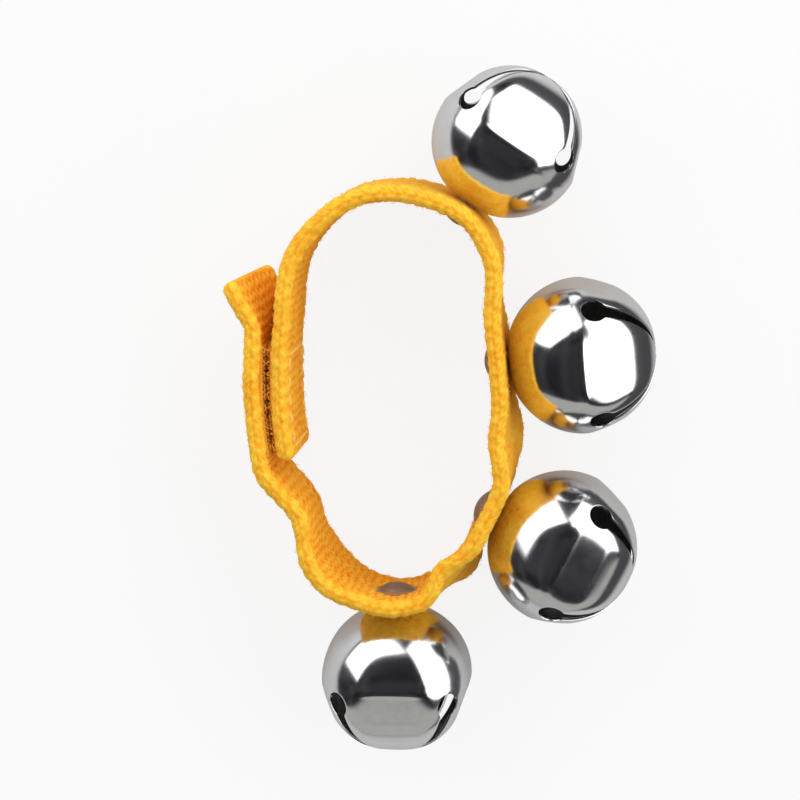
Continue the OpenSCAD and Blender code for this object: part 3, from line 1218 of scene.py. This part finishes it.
@dataclass
class Bells:
    """The pressed jingle bells: a round crown, four flat-sided petals and four keyhole slots between them."""

    finish: bpy.types.Material
    inside: bpy.types.Material
    seats: Sequence[Seat]
    turns: Sequence[float] = (43.0, 39.0, 44.0, 45.0)
    equator: float = 14.15 * MM
    bell_w: float = 28 * MM
    swell: float = 1 * MM
    crown_h: float = 12.6 * MM
    crown_flat_r: float = 4 * MM
    crown_hole_r: float = 1.7 * MM
    petal_h: float = 15.2 * MM
    tip_r: float = 12.9 * MM
    tip_angle: float = 28.0
    blend_angle: float = 5.0
    shoulder_drop: float = 1.5 * MM
    corner_rise: float = 0.3 * MM
    wall: float = 0.5 * MM
    hole_r: float = 2.35 * MM
    hole_drop: float = 4.3 * MM
    slot_w: float = 2.8 * MM
    slot_tip_w: float = 1.2 * MM
    tip_gap: float = 1.3 * MM
    lip: float = 0.14 * MM
    lip_angle: float = 50.0
    lip_segments: int = 2
    slot_angle: float = 45.0
    # How sharply the sheet bends, where its rays are cut off, and the fineness of its mesh
    softness: float = 46.0
    grazing: float = 0.05
    widest_cut: float = 0.7
    polar_search: tuple[float, float] = (60.0, 176.0)
    halvings: int = 40
    columns: int = 44
    crown_rows: int = 58
    hole_rows: int = 22
    slot_rows: int = 46

    def __post_init__(self) -> None:
        """Works out the balls and the petal's profile that the sheet metal follows."""
        diag = self.bell_w / 2 + self.swell
        flat = self.crown_flat_r
        self.crown_z = (diag**2 - self.crown_h**2 - flat**2) / (2 * self.crown_h)
        self.crown_r = math.hypot(diag, self.crown_z)
        bend_flat = flat + self.swell
        self.bend_z = ((self.bell_w / 2) ** 2 - self.crown_h**2 - bend_flat**2) / (2 * self.crown_h)
        self.bend_r = math.hypot(self.bell_w / 2, self.bend_z)
        top = self.petal_h + self.corner_rise
        self.corner_z = (top**2 - self.hole_drop**2 - diag**2) / (2 * (top - self.hole_drop))
        self.corner_r = top - self.corner_z
        self.tip_z = self.petal_h - self.tip_r
        shoulder_r = math.sqrt(self.bend_r**2 - (self.shoulder_drop - self.bend_z) ** 2)
        shoulder = Vector((shoulder_r, self.shoulder_drop))
        angle = math.radians(self.tip_angle)
        start = Vector((self.tip_r * math.cos(angle), self.tip_z + self.tip_r * math.sin(angle)))
        self.taper = math.atan2(shoulder.x - start.x, start.y - shoulder.y)
        self.reach = shoulder.x * math.cos(self.taper) + shoulder.y * math.sin(self.taper)
        self.shoulder_at = math.atan2(shoulder.y, shoulder.x)
        self.tip_at = math.atan2(start.y, start.x)

    @staticmethod
    def _ball(rise: float, centre: float, radius: float) -> float:
        """How far a ray goes inside a ball.

        Args:
            rise: The ray's share along the bell's axis.
            centre: The ball's place on the axis.
            radius: Its radius.

        Returns:
            The distance.
        """
        return centre * rise + math.sqrt(radius**2 - centre**2 * (1 - rise**2))

    def _profile(self, angle: float) -> float:
        """The petal's bend, seen from its side.

        Args:
            angle: Angle below the widest section.

        Returns:
            Distance from the bell's middle.
        """
        blend = math.radians(self.blend_angle)
        rise = math.sin(angle)
        crown = self._ball(rise, self.bend_z, self.bend_r)
        straight = self.reach / max(self.grazing, math.cos(angle - self.taper))
        tip = self._ball(rise, self.tip_z, self.tip_r)
        low = between(crown, straight, ease((angle - self.shoulder_at + blend) / (2 * blend)))
        return between(low, tip, ease((angle - self.tip_at + blend) / (2 * blend)))

    def _radius(self, direction: Vector) -> float:
        """The sheet's distance from the bell's middle, with its ridges rounded.

        Args:
            direction: A unit direction.

        Returns:
            The distance.
        """
        x, y, z = direction
        limits = [self._ball(z, self.crown_z, self.crown_r)]
        if z > 0:
            limits.append(self._ball(z, self.corner_z, self.corner_r))
        else:
            limits.append(self.crown_h / max(TINY, -z))
        for flat in (x, y):
            share = math.hypot(flat, z)
            if share > self.grazing:
                limits.append(self._profile(math.atan2(z, abs(flat))) / share)
        least = min(limits)
        return least * sum((least / limit) ** self.softness for limit in limits) ** (-1 / self.softness)

    def _corner_place(self, polar: float) -> Vector:
        """A place on the sheet under a slot's middle, as distance from the axis and height."""
        side, rise = math.sin(polar), -math.cos(polar)
        slanting = side * math.sqrt(0.5)
        return Vector((side, rise)) * self._radius(Vector((slanting, slanting, rise)))

    def _polar_at(self, height: float) -> float:
        """The angle from the crown at which the corner has a height."""
        low, high = (math.radians(angle) for angle in self.polar_search)
        for _ in range(self.halvings):
            middle = (low + high) / 2
            low, high = (middle, high) if self._corner_place(middle).y < height else (low, middle)
        return (low + high) / 2

    def _half_slot(self, height: float) -> float:
        """Half the width of a slot at a height."""
        below = height - self.hole_drop
        span = self.petal_h + self.wall - self.hole_drop
        slot = between(self.slot_w, self.slot_tip_w, below / span) / 2 if below > 0 else 0.0
        ring = math.sqrt(max(0.0, self.hole_r**2 - below**2))
        return max(ring, slot)

    def _rows(self) -> list[float]:
        """Angles from the crown of the rows of faces, closer round the hole of a slot."""
        first = math.atan2(self.crown_hole_r, self.crown_h)
        top = self._polar_at(self.hole_drop - self.hole_r)
        join = math.pi - math.asin(self.slot_w / 2 / self.hole_r)
        bottom = self._polar_at(self.hole_drop - self.hole_r * math.cos(join))
        last = math.pi - math.asin(self.tip_gap / self.petal_h)
        rows = [between(first, top, i / self.crown_rows) for i in range(self.crown_rows)]
        for i in range(self.hole_rows):
            rows.append(self._polar_at(self.hole_drop - self.hole_r * math.cos(join * i / self.hole_rows)))
        rows += [between(bottom, last, i / self.slot_rows) for i in range(self.slot_rows + 1)]
        return rows

    def shape(self) -> bmesh.types.BMesh:
        """Shapes one bell's sheet metal round the origin, with its crown down.

        Returns:
            The mesh, as a sheet without thickness.
        """
        rows = self._rows()
        bm = bmesh.new()
        bmesh.ops.create_grid(bm, x_segments=self.columns, y_segments=len(rows) - 1, size=0.5)
        for vert in bm.verts:
            polar = rows[round((vert.co.y + 0.5) * (len(rows) - 1))]
            corner = self._corner_place(polar)
            half = self._half_slot(corner.y) if polar > math.pi / 2 else 0.0
            spread = math.pi / 4 - math.asin(min(self.widest_cut, half / corner.x))
            turn = 2 * vert.co.x * spread
            side = math.sin(polar)
            direction = Vector((side * math.cos(turn), side * math.sin(turn), -math.cos(polar)))
            vert.co = direction * self._radius(direction)
        bmesh.ops.spin(
            bm, geom=[*bm.verts, *bm.edges, *bm.faces], cent=(0.0, 0.0, 0.0), axis=(0.0, 0.0, 1.0),
            angle=math.radians(270), steps=3, use_duplicate=True,
        )
        bmesh.ops.remove_doubles(bm, verts=bm.verts, dist=WELD)
        bmesh.ops.recalc_face_normals(bm, faces=bm.faces)
        return bm

    def dress(self) -> None:
        """Builds the four bells, gives their sheet its wall and rounds its cut edges."""
        master = self.shape()
        for number, seat, turn in zip(BELLS, self.seats, self.turns):
            place = seat.frame() @ Matrix.Translation((0.0, 0.0, self.equator))
            place = place @ Matrix.Rotation(math.radians(self.slot_angle - turn), 4, "Z")
            bm = master.copy()
            bmesh.ops.transform(bm, matrix=place, verts=bm.verts)
            bell = finish_piece(f"bell_sheet_{number}", bm, self.finish)
            bell.data.materials.append(self.inside)
            wall = bell.modifiers.new("wall", "SOLIDIFY")
            wall.thickness = self.wall
            wall.offset = -1.0
            wall.use_even_offset = True
            wall.material_offset = 1
            lip = bell.modifiers.new("lip", "BEVEL")
            lip.width = self.lip
            lip.segments = self.lip_segments
            lip.limit_method = "ANGLE"
            lip.angle_limit = math.radians(self.lip_angle)
            stand_for(bell, f"bell_{number}", f"bell_shell_{number}")
        master.free()


# The hardware that stays as packed


def dress_nodes(nodes: Iterable[bpy.types.Object], material: bpy.types.Material) -> None:
    """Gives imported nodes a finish.

    Args:
        nodes: The nodes' objects.
        material: Their finish.
    """
    for node in nodes:
        node.data.materials.clear()
        node.data.materials.append(material)
        LOG.info("%s: %s", node.name, material.name)


# The stage


@dataclass(frozen=True)
class SoftBox:
    """A large soft box that points at the object.

    Attributes:
        name: The lamp's name.
        turn: Direction from the object, in degrees from +X towards +Y.
        tilt: Degrees down from overhead.
        size: Width and height.
        radiance: Brightness of its face.
        distance: Distance from the object.
    """

    name: str
    turn: float
    tilt: float
    size: tuple[float, float]
    radiance: float = 1.6
    distance: float = 0.6

    def hang(self) -> None:
        """Adds the lamp."""
        lamp = bpy.data.lights.new(self.name, "AREA")
        lamp.shape = "RECTANGLE"
        lamp.size, lamp.size_y = self.size
        lamp.energy = self.radiance * math.pi * math.prod(self.size)
        turn, tilt = math.radians(self.turn), math.radians(self.tilt)
        way = Vector((math.sin(tilt) * math.cos(turn), math.sin(tilt) * math.sin(turn), math.cos(tilt)))
        facing = (-way).to_track_quat("-Z", "Y").to_matrix().to_4x4()
        holder = bpy.data.objects.new(self.name, lamp)
        holder.matrix_world = Matrix.Translation(way * self.distance) @ facing
        bpy.context.scene.collection.objects.link(holder)


@dataclass
class Stage:
    """White floor and surroundings, two soft boxes and the camera.

    The metal mirrors a grey sheet that ends beside the object, a dark room and a grey table in it.
    """

    floor_z: float
    # The camera, with the picture's scale in pixels for a millimetre
    camera_lean: tuple[float, float] = (5.0, 7.5)
    camera_distance: float = 550 * MM
    aim: tuple[float, float, float] = (0.4 * MM, 0.0, 0.0)
    picture_scale: float = 5.32
    picture_px: int = 800
    sensor: float = 36.0
    # The floor, with the sheet's tones and the slanting line along which it ends
    floor_reach: float = 3.0
    floor_glow: float = 0.86
    white: Colour = (1.0, 1.0, 1.0)
    black: Colour = (0.0, 0.0, 0.0)
    floor_paint: Colour = (0.8, 0.8, 0.8)
    sheet: Colour = (0.6, 0.6, 0.59)
    shade: Colour = (0.06, 0.06, 0.065)
    sheet_slope: tuple[float, float] = (4.0, 0.8)
    sheet_end: tuple[float, float] = (0.22, 0.29)
    # The room, with the table's tone and its edge, and the plain light that fills the shadows
    darkest: Colour = (0.01, 0.01, 0.013)
    room_scale: float = 1.9
    room_tones: tuple[float, float] = (0.42, 0.75)
    table: Colour = (0.4, 0.4, 0.38)
    table_slope: tuple[float, float] = (-0.9, -0.4)
    table_edge: tuple[float, float] = (0.4, 0.47)
    fill: Colour = (0.44, 0.44, 0.45)
    boxes: tuple[SoftBox, ...] = (
        SoftBox("left_box", turn=132.0, tilt=60.0, size=(0.8, 0.56)),
        SoftBox("right_box", turn=24.0, tilt=58.0, size=(1.25, 0.62)),
    )

    def _floor(self) -> None:
        """Adds the floor: white with a soft shadow to the camera, and the grey sheet to the metal."""
        bm = bmesh.new()
        bmesh.ops.create_grid(bm, x_segments=1, y_segments=1, size=self.floor_reach)
        bmesh.ops.translate(bm, vec=(0.0, 0.0, self.floor_z), verts=bm.verts)
        material = bpy.data.materials.new("pale_floor")
        s = Shader(material)
        place = s.object_place()
        slope_x, slope_y = self.sheet_slope
        way = s.along(place, "X") * slope_x + s.along(place, "Y") * slope_y
        sheet = s.ramp(way, list(zip(self.sheet_end, (self.sheet, self.shade))))
        tone = s.mix(s.ray("Is Glossy Ray"), (*self.floor_paint, 1.0), sheet)
        paint = s.add("ShaderNodeBsdfDiffuse", None, {"Color": tone})
        glow = s.add("ShaderNodeEmission", None, {"Color": (*self.white, 1.0), "Strength": 1.0})
        seen = s.ray("Is Camera Ray") * self.floor_glow
        skin = s.add("ShaderNodeMixShader", None, {0: seen, 1: paint, 2: glow})
        s.add("ShaderNodeOutputMaterial", None, {"Surface": skin})
        finish_piece("floor", bm, material)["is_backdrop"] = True

    def _world(self) -> None:
        """Adds the surroundings: white to the camera, and the dark room with its table to the metal."""
        world = bpy.data.worlds.new("studio")
        bpy.context.scene.world = world
        s = Shader(world)
        way = s.add("ShaderNodeTexCoord", output="Generated")
        clouds = s.noise(way, self.room_scale, 1.0)
        room = s.ramp(clouds, list(zip(self.room_tones, (self.darkest, self.shade))))
        slope_y, slope_z = self.table_slope
        near = s.along(way, "Y") * slope_y + s.along(way, "Z") * slope_z
        on_table = s.ramp(near, list(zip(self.table_edge, (self.black, self.white))))
        mirrored = s.mix(on_table, room, (*self.table, 1.0))
        plain = s.mix(s.ray("Is Camera Ray"), (*self.fill, 1.0), (*self.white, 1.0))
        colour = s.mix(s.ray("Is Glossy Ray"), plain, mirrored)
        back = s.add("ShaderNodeBackground", None, {"Color": colour, "Strength": 1.0})
        s.add("ShaderNodeOutputWorld", None, {"Surface": back})

    def _camera(self) -> None:
        """Adds a long lens over the loop, leaning as in the picture."""
        data = bpy.data.cameras.new("camera")
        data.sensor_width = self.sensor
        data.lens = self.picture_scale / MM * self.camera_distance / self.picture_px * self.sensor
        lean_x, lean_y = (math.tan(math.radians(a)) for a in self.camera_lean)
        back = Vector((lean_x, lean_y, 1.0)).normalized()
        side = Vector((0.0, 1.0, 0.0)).cross(back).normalized()
        columns = Matrix((side, back.cross(side), back)).transposed().to_4x4()
        camera = bpy.data.objects.new("camera", data)
        camera.matrix_world = Matrix.Translation(Vector(self.aim) + back * self.camera_distance) @ columns
        bpy.context.scene.collection.objects.link(camera)
        bpy.context.scene.camera = camera

    def build(self) -> None:
        """Sets the scene up."""
        bpy.context.scene.view_settings.view_transform = "Standard"
        self._camera()
        self._floor()
        self._world()
        for box in self.boxes:
            box.hang()


def read_seats(joints: Iterable[dict[str, Any]]) -> list[Seat]:
    """Reads the bells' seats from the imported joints.

    Args:
        joints: The frame's joints.

    Returns:
        One seat for each bell.
    """
    rows = {joint["name"]: joint for joint in joints}
    swivels = [rows[f"bell_{number}_swivel"] for number in BELLS]
    return [Seat(Vector(row["pos_m"]), Vector(row["axis"]).normalized()) for row in swivels]


def main() -> None:
    """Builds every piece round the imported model."""
    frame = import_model()
    cad_box = [list(corner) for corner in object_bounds()]
    path = StrapPath()
    seats = read_seats(frame["record"]["behaviour"]["joints"])
    Stage(floor_z=cad_box[0][2] - FLOOR_GAP).build()
    Webbing(path, [seat.point for seat in seats], WebbingFinish().make()).dress()
    Closure(path, LOOP_PILE.make(), HOOK_PLASTIC.make(), SEWING_THREAD.make()).dress()
    Bells(BELL_CHROME.make(), BELL_INSIDE.make(), seats).dress()
    nickel, steel = RIVET_NICKEL.make(), PLAIN_STEEL.make()
    hardware = {"rivet": nickel, "strap_washer": steel, "crown_washer": steel, "pellet": steel}
    for kind, finish in hardware.items():
        dress_nodes((frame["nodes"][f"{kind}_{number}"] for number in BELLS), finish)


if __name__ == "__main__":
    logging.basicConfig(level=logging.INFO, format="%(name)s %(message)s")
    main()
